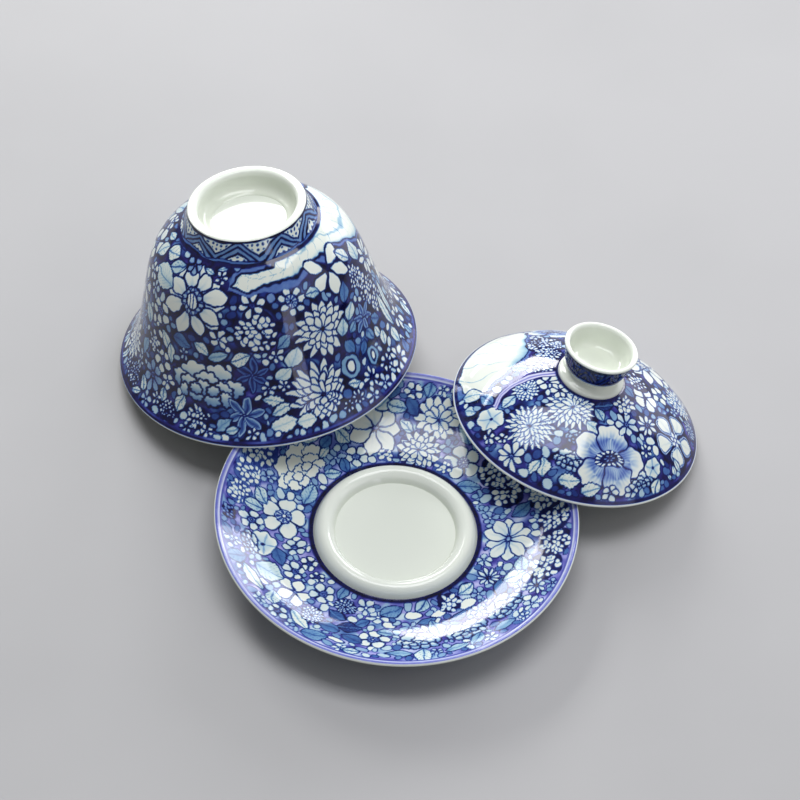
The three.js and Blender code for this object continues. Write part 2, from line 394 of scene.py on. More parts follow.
def lily(S, spot, R, turn=0.0, tone=0.5, edge=0.3):
    """A dark star with paler edges to its six petals."""
    idx, u, v = S.patch(spot, R * 1.1)
    for k in range(6):
        x, y = spun(u, v, TAU * k / 6 + turn)
        d, t, s = petal(x, y, R, 0.2 * R, 1.05, 0.75)
        S.lay(idx, d + 0.3, DARK, 0.1)
        fill = tone + 0.35 * np.exp(-(s / 0.25) ** 2) * (1 - t * 0.6)
        S.lay(idx, d, fill, 0.32, edge, 0.4)
    disc(S, spot, R * 0.1, 0.3, 0.25)


def glory(S, spot, R, turn=0.0):
    """A pale trumpet flower with faint ribs."""
    disc(S, spot, R, 0.03, 0.42, 0.06, 7, 0.5, turn, grad=0.22)
    rosette(S, spot, 5, R * 0.15, R * 0.9, 0.04 * R + 0.08, line=0.02, tone=0.3, base=0.25, sway=0.02,
            b=0.5, line_ink=0.4, turn=turn)
    disc(S, spot, R * 0.14, 0.9, 0.2)


def curl(S, spot, R, turn=0.0):
    """A washed ring round a white oval."""
    disc(S, spot, R, 0.34, 0.35, 0.04, 5, 0.7, turn, 1.15)
    disc(S, spot, R * 0.45, 0.04, 0.4, squash=1.5, teal=0.4)


def florets(S, spot, R, size=1.3, tone=0.02, ground=0.95, oval=1.25):
    """A mass of little round florets on a dark ground."""
    disc(S, spot, R, ground, 0.1, 0.06, 7)
    c, et, em = spot
    step = size * 1.98
    n = int(R / step) + 2
    for i in range(-n, n + 1):
        for j in range(-n, n + 1):
            x = (i + 0.5 * (j % 2)) * step + S.rng.normal() * 0.14 * step
            y = j * step * 0.86 + S.rng.normal() * 0.14 * step
            if math.hypot(x, y) > R - size * 0.6:
                continue
            g = size * S.rng.uniform(0.8, 1.12)
            ang = math.atan2(y, x) if S.rng.random() < 0.7 else S.rng.uniform(0, math.pi)
            idx, u, v = S.patch((c + et * x + em * y, et, em), g * 1.7)
            uu, vv = spun(u, v, ang)
            depth = g - np.hypot(uu / oval, vv * 1.05)
            S.lay(idx, depth, tone + S.rng.uniform(0, 0.07), 0.15, teal=0.25)


def ribbon_leaf(S, axis, course, tone=0.02, pitch=8.0, slant=1.6, rib=0.25):
    """A long leaf between two edges given as (angle, low, high), with fine branching veins."""
    marks = np.array(course, float)
    along = (S.angle() - marks[0, 0]) % 360
    run = (marks[:, 0] - marks[0, 0]) % 360
    across = S.q[:, 2] if axis == 1 else np.hypot(S.q[:, 0], S.q[:, 1])
    wavy = 0.45 * Waves(91, 7.0)(S.p)
    low = np.interp(along, run, marks[:, 1]) + wavy
    high = np.interp(along, run, marks[:, 2]) + 0.6 * wavy
    outside_run = -9
    ends = np.where(along < run[-1], np.minimum(along, run[-1] - along) * 0.5, outside_run)
    d = np.minimum(np.minimum(across - low, high - across), ends)
    idx = np.nonzero(d > -2.0)[0]
    d = d[idx]
    share = ((across - low) / np.maximum(high - low, 0.1))[idx]
    warp = 0.12 * Waves(92, 14.0)(S.p[idx])
    vein = np.abs(np.sin(np.pi * (along[idx] / pitch + slant * np.abs(share - 0.5) + warp)))
    fill = tone + 0.32 * ramp(share, 0.28, 0.0) + 0.3 * ramp(vein, 0.1, 0.03) * ramp(share, 0.1, 0.4)
    fill = fill + rib * ramp(np.abs(share - 0.5 - 0.4 * warp), 0.045, 0.01)
    S.lay(idx, d + 1.2, 0.5, 0.1, 0.62, 0.5, 0.25)
    S.lay(idx, d, fill, 0.5, teal=0.8)


def small_motif(S, spot, room, turn, mix, tone, dark):
    """A random motif that fits a bare spot with this much room round it."""
    degrees = math.degrees(turn)
    R = room * 1.15 + 0.3
    if room < 1.7:
        disc(S, spot, R, tone + dark * S.rng.random() ** 1.2, 0.26, squash=0.75, turn=degrees, teal=0.45)
    elif room < 2.9:
        if S.rng.random() < 0.6:
            leaf(S, spot, R * 2.7, R * 0.85, degrees, tone + 0.5 * S.rng.random() ** 1.3, 1.5, 0.7, line=0.3)
        else:
            pale = tone + 0.3 * S.rng.random() ** 2
            rosette(S, spot, 5, 0.1, R, R * 0.38, 1.6, 0.5, turn, 0.26, pale, 0.35)
            disc(S, spot, R * 0.2, 0.1, 0.2)
    else:
        kinds = list(mix)
        weight = np.array([mix[k] for k in kinds], float)
        kind = kinds[S.rng.choice(len(kinds), p=weight / weight.sum())]
        if kind == "daisy":
            daisy(S, spot, R, int(S.rng.integers(7, 11)), turn, tone)
        elif kind == "plum":
            plum(S, spot, R, turn=turn, tone=tone)
        elif kind == "leaf":
            leaf(S, spot, R * 2.5, R * 0.95, degrees, tone + 0.1 * S.rng.random(), jag=0.05)
        elif kind == "chrysanthemum":
            chrysanthemum(S, spot, R, 3, 0.8, turn, tone)
        elif kind == "lily":
            lily(S, spot, R, turn)
        else:
            florets(S, spot, R, 0.95, tone)


MIX = {"daisy": 3, "plum": 3, "leaf": 5, "chrysanthemum": 2, "lily": 1, "florets": 2}


def fill_gaps(S, first, last, count, biggest=6.5, smallest=1.0, mix=MIX, tone=0.03, dark=0.72):
    """Packs small flowers and leaves into the bare ground until little of it is left."""
    bare = np.zeros((len(S.rows), S.around), bool)
    bare[first:last] = True
    bare = bare.ravel()
    for _ in range(count):
        free = np.nonzero(bare & (S.done < BARE))[0]
        if len(free) < 60:
            break
        best, room = None, 0.0
        for i in free[S.rng.integers(0, len(free), SPOTS_TRIED)]:
            near = S.window(S.p[i], biggest)
            near = near[S.done[near] > COVERED]
            d = np.sqrt(((S.p[near] - S.p[i]) ** 2).sum(1)).min() if len(near) else biggest
            if d > room:
                best, room = i, d
        if best is None:
            continue
        turn = S.rng.uniform(0, TAU)
        if room < smallest:
            near = S.window(S.p[best], 0.9)
            S.done[near[((S.p[near] - S.p[best]) ** 2).sum(1) < 0.64]] = 0.3
        else:
            spot = S.frame_at(best // S.around, (best % S.around) * TAU / S.around)
            small_motif(S, spot, min(room, biggest), turn, mix, tone, dark)


def put(kind, angle, at, *size, **settings):
    """One motif: its kind, angle in degrees, radius or height, sizes and settings."""
    return kind, angle, at, size, settings


def scatter(S, axis, motifs):
    """Draws a list of motifs placed by radius (axis 0) or height (axis 1)."""
    for kind, angle, at, size, settings in motifs:
        kind(S, S.spot(angle, at, axis), *size, **settings)


# ---------------------------------------------------------------- meshes
def lathe_mesh(name, rows, around, paint, closed_loop=False):
    """A turned mesh from profile rows. Rows with radius 0 become poles."""
    start_pole = not closed_loop and rows[0, 0] < POLE
    end_pole = not closed_loop and rows[-1, 0] < POLE
    run = np.concatenate([[0], np.cumsum(np.hypot(*np.diff(rows, axis=0).T))])
    total = run[-1] + (np.hypot(*(rows[0] - rows[-1])) if closed_loop else 0.0)
    body = rows[int(start_pole):len(rows) - int(end_pole)]
    share = (run / total)[int(start_pole):]
    n = len(body)
    pts = turned(body, np.arange(around) * TAU / around)
    col = paint(body, around).reshape(-1, 4)
    j = np.arange(around)
    j2 = (j + 1) % around

    def uv_at(column, v):
        return np.stack([column / around, 0 * column + v], 1)

    quads, uvs = [], []
    for i in range(n if closed_loop else n - 1):
        i2 = (i + 1) % n
        v0, v1 = share[i], share[i2] if i2 else 1.0
        quads.append(np.stack([i * around + j, i * around + j2, i2 * around + j2, i2 * around + j], 1))
        uvs.append(np.stack([uv_at(j, v0), uv_at(j + 1, v0), uv_at(j + 1, v1), uv_at(j, v1)], 1))
    loops = np.concatenate(quads).ravel()
    uvs = np.concatenate(uvs).reshape(-1, 2)
    corners = np.full(len(loops) // 4, 4)
    for first, pole, row, k in ((True, start_pole, rows[0], 0), (False, end_pole, rows[-1], n - 1)):
        if not pole:
            continue
        tip = np.full(around, len(pts))
        ring, ring2 = k * around + j, k * around + j2
        fan = [tip, ring2, ring] if first else [tip, ring, ring2]
        sides = [uv_at(j, share[k]), uv_at(j + 1, share[k])]
        fan_uv = [uv_at(j + 0.5, 0.0 if first else 1.0), *(sides[::-1] if first else sides)]
        loops = np.concatenate([loops, np.stack(fan, 1).ravel()])
        uvs = np.concatenate([uvs, np.stack(fan_uv, 1).reshape(-1, 2)])
        corners = np.concatenate([corners, np.full(around, 3)])
        pts = np.concatenate([pts, [[0, 0, row[1]]]])
        col = np.concatenate([col, [col[ring].mean(0)]])
    mesh = bpy.data.meshes.new(name)
    mesh.vertices.add(len(pts))
    mesh.loops.add(len(loops))
    mesh.polygons.add(len(corners))
    mesh.vertices.foreach_set("co", (pts * MM).astype(np.float32).ravel())
    mesh.loops.foreach_set("vertex_index", loops.astype(np.int32))
    mesh.polygons.foreach_set("loop_start", (np.cumsum(corners) - corners).astype(np.int32))
    mesh.polygons.foreach_set("loop_total", corners.astype(np.int32))
    mesh.polygons.foreach_set("use_smooth", np.ones(len(corners), bool))
    mesh.update(calc_edges=True)
    uv = mesh.uv_layers.new(name="OFBake")
    uv.data.foreach_set("uv", uvs.astype(np.float32).ravel())
    att = mesh.color_attributes.new("paint", "FLOAT_COLOR", "POINT")
    att.data.foreach_set("color", np.clip(col, 0, 1).astype(np.float32).ravel())
    mesh.validate()
    return mesh


def flip_if_inside_out(mesh):
    """Turns the faces round when the volume they enclose comes out negative."""
    co = np.empty(len(mesh.vertices) * 3)
    mesh.vertices.foreach_get("co", co)
    mesh.calc_loop_triangles()
    tri = np.empty(len(mesh.loop_triangles) * 3, np.int32)
    mesh.loop_triangles.foreach_get("vertices", tri)
    t = co.reshape(-1, 3)[tri.reshape(-1, 3)]
    if np.einsum("ij,ij->i", t[:, 0], np.cross(t[:, 1], t[:, 2])).sum() < 0:
        mesh.flip_normals()


# ---------------------------------------------------------------- materials
def node_tree(name):
    """A new material and its empty node tree."""
    mat = bpy.data.materials.new(name)
    mat.use_nodes = True
    mat.node_tree.nodes.clear()
    return mat, mat.node_tree


def add(tree, kind, **values):
    """A node with the given inputs or properties set."""
    node = tree.nodes.new(kind)
    for key, value in values.items():
        if key in node.inputs:
            node.inputs[key].default_value = value
        else:
            setattr(node, key, value)
    return node


def mix_node(tree, fac, a, b):
    """Blends colour a towards colour b by the linked factor."""
    node = add(tree, "ShaderNodeMix", data_type="RGBA")
    tree.links.new(fac, node.inputs["Factor"])
    ins = [s for s in node.inputs if s.type == "RGBA"]
    for socket, value in zip(ins, (a, b)):
        if isinstance(value, tuple):
            socket.default_value = value
        else:
            tree.links.new(value, socket)
    return [s for s in node.outputs if s.type == "RGBA"][0]


def colour_ramp(tree, fac, positions, colours):
    node = tree.nodes.new("ShaderNodeValToRGB")
    elements = node.color_ramp.elements
    while len(elements) > 1:
        elements.remove(elements[-1])
    elements[0].position = positions[0]
    for pos in positions[1:]:
        elements.new(pos)
    for element, rgb in zip(elements, colours):
        element.color = (*rgb, 1.0)
    tree.links.new(fac, node.inputs["Fac"])
    return node.outputs["Color"]


def noise(tree, coord, scale, detail, roughness=0.5):
    node = add(tree, "ShaderNodeTexNoise", Scale=scale, Detail=detail, Roughness=roughness)
    tree.links.new(coord, node.inputs["Vector"])
    return node.outputs["Fac"]


def spread(tree, value, edge, lo, hi):
    """Maps edge to 1 - edge on to lo to hi."""
    node = tree.nodes.new("ShaderNodeMapRange")
    for key, number in (("From Min", edge), ("From Max", 1.0 - edge), ("To Min", lo), ("To Max", hi)):
        node.inputs[key].default_value = number
    tree.links.new(value, node.inputs["Value"])
    return node.outputs["Result"]


# Ink strengths, and the colour each tint of the cobalt has at them.
INK = (0.0, 0.09, 0.19, 0.32, 0.5, 0.72, 0.88, 1.0)
WHITE = (0.74, 0.78, 0.70)
COBALT = [WHITE, (0.69, 0.735, 0.68), (0.47, 0.59, 0.65), (0.22, 0.35, 0.56), (0.062, 0.132, 0.42),
          (0.012, 0.026, 0.215), (0.004, 0.006, 0.082), (0.002, 0.002, 0.022)]
TEAL = [WHITE, (0.66, 0.73, 0.675), (0.43, 0.61, 0.63), (0.19, 0.40, 0.52), (0.055, 0.19, 0.37),
        (0.011, 0.042, 0.17), (0.004, 0.010, 0.068), (0.002, 0.003, 0.022)]
VIOLET = [WHITE, (0.67, 0.69, 0.73), (0.52, 0.53, 0.73), (0.35, 0.35, 0.66), (0.15, 0.15, 0.48),
          (0.045, 0.04, 0.29), (0.018, 0.013, 0.14), (0.008, 0.006, 0.05)]
# Tint of deep glaze, greener and darker; in recesses it also serves as painted shade.
GREENISH = (0.52, 0.57, 0.43, 1.0)


def glaze_material(name):
    """Glazed porcelain that reads its ink and tints from the paint on the vertices."""
    mat, tree = node_tree(name)
    link = tree.links.new
    out = add(tree, "ShaderNodeOutputMaterial")
    bsdf = add(tree, "ShaderNodeBsdfPrincipled")
    bsdf.inputs["IOR"].default_value = 1.52
    bsdf.inputs["Specular IOR Level"].default_value = 0.4
    link(bsdf.outputs["BSDF"], out.inputs["Surface"])
    att = add(tree, "ShaderNodeAttribute", attribute_name="paint", attribute_type="GEOMETRY")
    sep = add(tree, "ShaderNodeSeparateColor")
    link(att.outputs["Color"], sep.inputs["Color"])
    coord = add(tree, "ShaderNodeTexCoord").outputs["Object"]
    strength = add(tree, "ShaderNodeMath", operation="MULTIPLY_ADD", use_clamp=True)
    link(spread(tree, noise(tree, coord, 420.0, 3.0, 0.55), 0.25, -0.09, 0.09), strength.inputs[0])
    link(sep.outputs["Red"], strength.inputs[1])
    link(sep.outputs["Red"], strength.inputs[2])
    blue, teal, violet = (colour_ramp(tree, strength.outputs[0], INK, c) for c in (COBALT, TEAL, VIOLET))
    colour = mix_node(tree, sep.outputs["Green"], blue, teal)
    colour = mix_node(tree, sep.outputs["Blue"], colour, violet)
    # Alpha 1 is thin clear glaze; lower is pooled glaze, which is greener and darker, and where it deepens
    # into a recess it is partly painted shade.
    pool_and_shade = add(tree, "ShaderNodeMath", operation="SUBTRACT", use_clamp=True)
    pool_and_shade.inputs[0].default_value = 1.0
    link(att.outputs["Alpha"], pool_and_shade.inputs[1])
    link(mix_node(tree, pool_and_shade.outputs[0], colour, GREENISH), bsdf.inputs["Base Color"])
    link(spread(tree, noise(tree, coord, 60.0, 2.0), 0.3, 0.05, 0.11), bsdf.inputs["Roughness"])
    ripple = add(tree, "ShaderNodeBump", Strength=0.12, Distance=0.0006)
    link(noise(tree, coord, 130.0, 1.5), ripple.inputs["Height"])
    link(ripple.outputs["Normal"], bsdf.inputs["Normal"])
    return mat


# ---------------------------------------------------------------- painted surfaces
# Each motif: kind, angle in degrees round the piece, height above the lip (bowl) or distance
# from the axis (lid, saucer), then sizes in millimetres in the order its function takes them.
# A leaf has length, half width, turn and tone; a rosette has count, inner and outer radius and
# half width; florets have radius and floret size; the other flowers start with their radius.
BOWL_MOTIFS = [
    put(florets, 344, 39, 5, 0.85), put(florets, 349, 31, 5.4, 0.85), put(florets, 353, 24, 4.6, 0.85),
    put(leaf, 354.5, 44, 9, 3.4, 80, 0.08), put(plum, 182.5, 47.6, 6.2, 5, 0.4),
    put(leaf, 196, 50, 8, 3, 60), put(leaf, 247, 30.4, 8, 2.6, -25, 0.05),
    put(leaf, 256, 28.5, 8, 2.3, 20, 0.2), put(chrysanthemum, 310.5, 32.5, 10.2, 3, 0.95, 0.5),
    put(leaf, 293, 26.4, 8.5, 3.6, 60, 0.1, vein_ink=0.3),
    put(leaf, 287, 22, 7.5, 3, 35, 0.08, vein_ink=0.3), put(lily, 272.5, 23.1, 6, 0.4, tone=0.66, edge=0.5),
    put(peony, 249.5, 18, 12.2, squash=0.72, line=0.6),
    put(lily, 267.5, 9.5, 7.2, 0.25, tone=0.5, edge=0.24), put(leaf, 258, 6.2, 8, 2.2, 35, 0.25),
    put(leaf, 262, 5, 6, 1.8, 15, 0.12), put(florets, 246, 6.8, 4.2, 0.9, tone=0.05),
    put(leaf, 281, 13.4, 9, 2.4, -20, 0.03, jag=0.12), put(leaf, 284, 10.4, 9, 2.2, 8, 0.05, jag=0.1),
    put(chrysanthemum, 302.5, 11.3, 10.4, 4, 1, 0.2, skew=0.3, skew_to=2.3),
    put(leaf, 283, 6, 11, 3.3, 10, 0.03, jag=0.07, vein_ink=0.25),
    put(leaf, 292.5, 5.3, 8.5, 2.8, -12, 0.03, jag=0.07, vein_ink=0.25), put(lotus, 240, 44.9, 12.6, 1.2),
    put(florets, 276.5, 37.6, 7.3, 1.12), put(disc, 260.5, 31.3, 1.5, 0.05),
    put(plum, 276, 46.3, 4.5, 6, 0.2, core=0.28), put(disc, 265.5, 45.5, 1.6, 0.3),
    put(disc, 287.5, 47.2, 1.9, 0.4), put(plum, 299, 45.1, 5.2, 7, 0.9, core=0.45, tone=0.07),
    put(leaf, 224.5, 27.5, 9, 2.6, 130, 0.04, b=0.7), put(leaf, 229, 23.9, 9, 2.2, 100, 0.06, b=0.7),
    put(daisy, 218, 11.3, 6, 7, 0.1, tone=0.28), put(leaf, 207, 18, 9, 2.4, 80, 0.3),
    put(curl, 319.5, 15.1, 3.9, 0.5), put(curl, 333, 12.6, 3.1, 1.5),
    put(leaf, 322, 28.6, 7.5, 2.8, 70, 0.12), put(leaf, 329.5, 31.7, 7, 2.6, 50, 0.1),
    put(leaf, 322, 21.5, 7, 2.4, 110, 0.45), put(daisy, 326.5, 7.8, 3.8, 7, 0.5),
    put(daisy, 338, 6.8, 3.4, 7, 1), put(daisy, 317, 5.8, 2.9, 7, 0.1), put(daisy, 311, 4.9, 2.4, 6),
    put(florets, 203.5, 5.6, 4.4, 0.7, tone=0, oval=1), put(florets, 231, 5, 4, 0.7, tone=0, oval=1),
    put(leaf, 356, 17.9, 17, 2.3, 97, 0.04, b=0.7), put(leaf, 2, 20, 17, 2.2, 86, 0.05, b=0.7),
    put(leaf, 342.5, 17.2, 6.5, 2.2, 100, 0.03), put(leaf, 345, 13.4, 6, 2.4, 60, 0.03),
    put(leaf, 353.5, 9, 7.5, 2.8, 75, 0.05), put(daisy, 5, 9, 4.6, 6), put(lotus, 24, 27, 11.6, 0.4),
    put(peony, 47, 15, 11.5), put(chrysanthemum, 80, 31, 11.5, 4, turn=0.1),
    put(hibiscus, 101, 13, 11.5, 0.4), put(plum, 66, 45, 6.5, turn=0.6), put(peony, 128, 32, 11),
    put(chrysanthemum, 146, 12, 12, 4, turn=0.7), put(lotus, 168, 29, 12, 0.1),
    put(florets, 112, 48, 6, 1.2), put(orchid, 193, 36, 7, 0.4),
    put(chrysanthemum, 188, 12, 9.6, 3, turn=0.7), put(orchid, 24, 9.5, 7, 0.2),
    put(plum, 218, 36, 5, turn=0.9),
]
# The long pale leaf round the foot: (angle, lower edge, upper edge).
BOWL_LEAF = [
    (262, 50.6, 50.7), (264, 50.2, 51.5), (268, 49.9, 52.6), (277, 49.5, 53.9), (288, 49.5, 54.8),
    (297.5, 49.9, 55.8), (305, 50.2, 57), (330, 50.6, 58), (345, 50, 58), (355, 47.4, 58), (365, 44, 58),
    (378, 41, 58), (392, 42, 57), (405, 47, 55), (415, 51, 52),
]
BOWL_OVER_LEAF = [
    put(spray, 328.3, 47.7, 9.4, 2.8, towards=(325, 30, 140, 205, 265)),
    put(leaf, 208.5, 52.4, 7.5, 3.2, 20, 0.03, vein_ink=0.6),
    put(rosette, 231.5, 53, 5, 0.2, 3.2, 1.4, tone=0.3), put(leaf, 246, 53.4, 6, 1.4, -12, 0.04),
    put(leaf, 256, 54, 4.5, 1.1, 6, 0.03), put(leaf, 192, 53.5, 6, 2, 20),
]


def paint_bowl(rows, around):
    S = Surface(rows, around, 11, ground=0.95, mottle=0.1)
    S.bold = 1.4
    h = S.p[:, 2]
    S.done[(h < 1.9) | (h > 54.9)] = TAKEN
    scatter(S, 1, BOWL_MOTIFS)
    ribbon_leaf(S, 1, BOWL_LEAF)
    scatter(S, 1, BOWL_OVER_LEAF)
    fill_gaps(S, S.first_row(1, 2.3), S.first_row(1, 54.5), 1000)
    lip = np.where(h < 1.05, 0.04, np.where(h < 1.6, DARK, 0.76 + 0.1 * Waves(5, 12)(S.p)))
    S.fade(ramp(h, 2.4, 2.0), lip, teal=0.1, violet=np.where(h < 1.05, 0.0, 0.35))
    S.fade(ramp(h, 54.35, 54.7), 0.96, violet=0.3)
    return S.colours()


LID_MOTIFS = [
    put(chrysanthemum, 230.5, 28.9, 8.8, 4, 1.35, 0.1, line=0.2, slim=0.86, ground=0.8),
    put(chrysanthemum, 247.5, 16.3, 8.8, 4, 1.3, 0.4, line=0.2, slim=0.86, ground=0.8),
    put(chrysanthemum, 201.5, 22.4, 5, 3, 1.1, 0.2, line=0.2),
    put(rosette, 203.5, 15, 6, 0.3, 4.2, 1.5, tone=0.02),
    put(rosette, 222, 14, 6, 0.3, 3.6, 1.3, tone=0.02), put(glory, 210, 35.5, 4.9, 0.3),
    put(peony, 261.5, 32.6, 5, tone=0.02, squash=1), put(peony, 264, 25.4, 4, tone=0.1),
    put(leaf, 277, 21.5, 8, 2.6, -35, 0.06), put(leaf, 291.5, 13.5, 8, 2.2, 0, 0.75),
    put(peony, 304, 37.4, 4.8, squash=0.8), put(glory, 314, 35.2, 3.4), put(plum, 314, 29.8, 2.8, 6),
    put(hibiscus, 286.5, 30.4, 12.2), put(orchid, 341.5, 33.4, 9.8, 0.2),
    put(daisy, 309, 20.8, 4.6, 7, tone=0.1), put(daisy, 233, 38.4, 4.9, 8, 0.2),
    put(leaf, 250, 36.6, 8, 2.6, -65, 0.03, jag=0.06), put(leaf, 245.5, 37.6, 7, 2.2, -100, 0.03, jag=0.06),
    put(leaf, 265, 37.6, 8.5, 2.5, 15, 0.03, jag=0.1), put(leaf, 276, 38.6, 8, 2.3, 25, 0.05, jag=0.1),
    put(rosette, 286, 39.3, 5, 0.2, 3.2, 1.4, tone=0.08),
    put(rosette, 297, 39.3, 5, 0.2, 2.9, 1.3, tone=0.1), put(rosette, 218.5, 38.6, 5, 0.2, 2.6, 1.1),
    put(rosette, 223.5, 36.6, 5, 0.2, 2.2, 1), put(leaf, 190, 37.5, 8.5, 3.4, 75, 0.06),
    put(leaf, 199, 39, 6, 2.2, 60, 0.1), put(florets, 131.5, 21.7, 6.4, 0.75),
    put(florets, 167, 16.5, 5.6, 0.7), put(florets, 146, 17, 5, 0.7),
    put(rosette, 355, 20, 5, 0.4, 5.6, 2.3, a=1.4, tone=0.01, base=0.1),
    put(plum, 10, 25.8, 4.2, tone=0.03), put(florets, 17, 17.5, 5, 0.9),
    put(leaf, 331, 38.6, 6.5, 1.5, 88, 0.02), put(leaf, 327, 38.8, 5, 1.4, 80, 0.03),
    put(leaf, 322.5, 39.2, 4, 1.1, 100, 0.03), put(chrysanthemum, 15, 35, 6.6, 3, 1.1, 0.3, line=0.22),
    put(lotus, 45, 28, 11, 0.2), put(peony, 78, 28, 10), put(hibiscus, 110, 32, 8.8, 0.1),
    put(plum, 60, 16.5, 4.4, turn=0.3), put(daisy, 95, 17, 4.8, 8),
]
# The long pale leaf on the lid: (angle, inner edge, outer edge).
LID_LEAF = [
    (124, 35, 37), (130, 30.5, 41.6), (140, 26.5, 41.8), (150, 23.8, 41.8), (160, 22.6, 41.8),
    (170, 23.8, 41.6), (179, 26.4, 40.8), (185, 29.8, 39.5), (191, 34, 36),
]
# The thin violet arc on the lid: distances from the axis, and its angle at each.
ARC_RADIUS = [12.9, 17.3, 20.8, 23.5, 26.5, 29.8, 32.6]
ARC_ANGLE = [189.5, 188.5, 189.5, 191.5, 194, 198.5, 204]


def paint_lid(rows, around):
    S = Surface(rows, around, 31, ground=0.84, mottle=0.15, violet=0.5)
    r = S.radius
    S.done[(r > 41.1) | (r < 11.8)] = TAKEN
    ribbon_leaf(S, 0, LID_LEAF, tone=0.0, pitch=11.0, slant=0.4, rib=0.0)
    scatter(S, 0, LID_MOTIFS)
    off_arc = np.abs(S.angle() - np.interp(r, ARC_RADIUS, ARC_ANGLE)) * np.radians(r)
    idx = np.nonzero((r > 12.0) & (r < 33.0) & (off_arc < 1.9))[0]
    off_arc = off_arc[idx]
    S.lay(idx, 1.4 - off_arc, 0.14 + 0.3 * ramp(off_arc, 0.45, 0.2), 0.35, teal=0.0, violet=0.95)
    fill_gaps(S, S.first_row(0, 41.0, below=True), S.first_row(0, 12.2, below=True), 800, 4.6, 0.9)
    S.fade(ramp(r, 40.9, 41.3), np.where(r > 42.0, 0.05, 0.93), violet=0.35)
    S.fade(ramp(r, 12.4, 11.9), 0.92)
    return S.colours()


SAUCER_MOTIFS = [
    put(chrysanthemum, 76, 46.3, 8.2, 2, 0.72, 0.2, ground=0.8),
    put(chrysanthemum, 81, 33.9, 7.8, 3, 0.85, 0.4, ground=0.8),
    put(rosette, 103.5, 41.1, 7, 0.6, 9.6, 3.2, a=1.2, b=0.75, turn=0.3, line=0.42, tone=0.03,
        base=0.15, vein=0.08),
    put(plum, 88, 53, 3.6), put(leaf, 99.5, 49, 7, 2.8, 40, 0.1), put(plum, 70, 54, 3),
    put(peony, 147.5, 39.8, 9.4, squash=0.9, turn=180, shade=-0.1, tone=0.06, line=0.36),
    put(leaf, 132, 38.5, 7, 1.9, 10, 0.04), put(plum, 178.5, 36.8, 8, 5, 0.5, core=0.36),
    put(glory, 195.5, 43.7, 5), put(peony, 196, 48, 4.6),
    put(rosette, 0.5, 37, 10, 0.6, 8.6, 2.4, a=1.4, b=0.6, line=0.36, tone=0.07, base=0.12, vein=0.12),
    put(plum, 211, 31.3, 3.2), put(plum, 222, 31.5, 2.6), put(florets, 164, 51.2, 5.4, 1, ground=0.6),
    put(florets, 174, 52, 4.6, 0.9, ground=0.6), put(florets, 154, 50.8, 5.4, 1.1, ground=0.7),
    # The florets from 345° round to 40° sit on a dark ground that is partly their pattern and partly painted
    # shadow of the lid.
    put(florets, 184, 54, 2.8, 0.7, ground=0.97, tone=0.3), put(florets, 345, 50.5, 6, 1.1, ground=0.9),
    put(florets, 356, 51.3, 5.8, 1, ground=0.9), put(florets, 7, 51.3, 5.8, 1, ground=0.9),
    put(florets, 18, 50.5, 6, 1.1, ground=0.92), put(florets, 28, 40, 6, 1.1, ground=0.95),
    put(florets, 40, 41, 6, 1, ground=0.95),
    put(rosette, 224, 42.5, 5, 0.4, 6.6, 2.3, a=1.35, turn=0.6, line=0.36, tone=0, base=0.06),
    put(leaf, 237, 50.5, 12, 2.6, -25, 0.02), put(leaf, 212, 52, 14, 2.6, 4, 0.02),
    put(leaf, 254, 42.8, 9, 2.6, 20, 0.72), put(leaf, 246, 39.5, 7, 2.2, -10, 0.6),
    put(disc, 252, 51.2, 2.8, 0.05, squash=0.55), put(disc, 262, 52.4, 2.6, 0.3, squash=0.6),
    put(disc, 271, 38, 2.8, 0.05, squash=0.6), put(disc, 284, 33.8, 3, 0.05, squash=0.62),
    put(disc, 297, 35.2, 3, 0.05, squash=0.62), put(disc, 313, 36.6, 3.2, 0.06, squash=0.7),
    put(leaf, 290, 37.2, 8, 1.8, 6, 0.5), put(leaf, 305, 39.2, 8, 1.8, 6, 0.5),
    put(leaf, 330.5, 40.2, 9, 2.6, 25, 0.5), put(peony, 322, 46.5, 6.6), put(peony, 303, 46.5, 6.6),
    put(peony, 283, 46.5, 6.6), put(plum, 265, 46, 5, turn=0.3), put(leaf, 275, 52.6, 9, 2.2, tone=0.25),
    put(leaf, 295, 53, 9, 2.2, 4, 0.2), put(leaf, 314, 53, 9, 2.2, -4, 0.3),
    put(chrysanthemum, 57, 51, 5.6, 3), put(lotus, 122, 49.5, 7, 0.5), put(plum, 56, 36, 6.4, turn=0.5),
    put(florets, 64, 31.5, 3, 0.9, ground=0.6), put(florets, 100, 31, 2.6, 0.9, ground=0.6),
]
SAUCER_MIX = {"daisy": 4, "plum": 5, "leaf": 1, "chrysanthemum": 1, "florets": 2}


def paint_saucer(rows, around):
    S = Surface(rows, around, 51, ground=0.46, mottle=0.13, violet=0.72)
    r = S.radius
    S.done[(r > 56.6) | (r < 28.6)] = TAKEN
    scatter(S, 0, SAUCER_MOTIFS)
    first, last = S.first_row(0, 56.6, below=True), S.first_row(0, 28.8, below=True)
    fill_gaps(S, first, last, 900, 3.7, 0.85, SAUCER_MIX, 0.08, 0.5)
    S.fade(ramp(r, 56.4, 56.7), np.where(r > 57.0, 0.14, 0.62), violet=0.7)
    S.fade(ramp(r, 28.5, 28.1), DARK, violet=0.1)
    return S.colours()


def paint_saucer_lip(rows, around):
    """White outside, with a violet-blue line on its inner half."""
    inner = ((rows[:, 0] < 58.6) & (rows[:, 1] > 14.6))[:, None]
    col = plain(rows, around, ink=np.where(inner, 0.5, 0.03))
    col[..., 2] = np.where(inner, 0.75, 0.0)
    return col


UNDER_KINDS = [peony, lotus, chrysanthemum, hibiscus, orchid] * 3
UNDER_MOTIFS = [put(kind, 24 * k, 43.5 + 3 * (k % 2), 8.3, turn=0.4 * k)
                for k, kind in enumerate(UNDER_KINDS)]


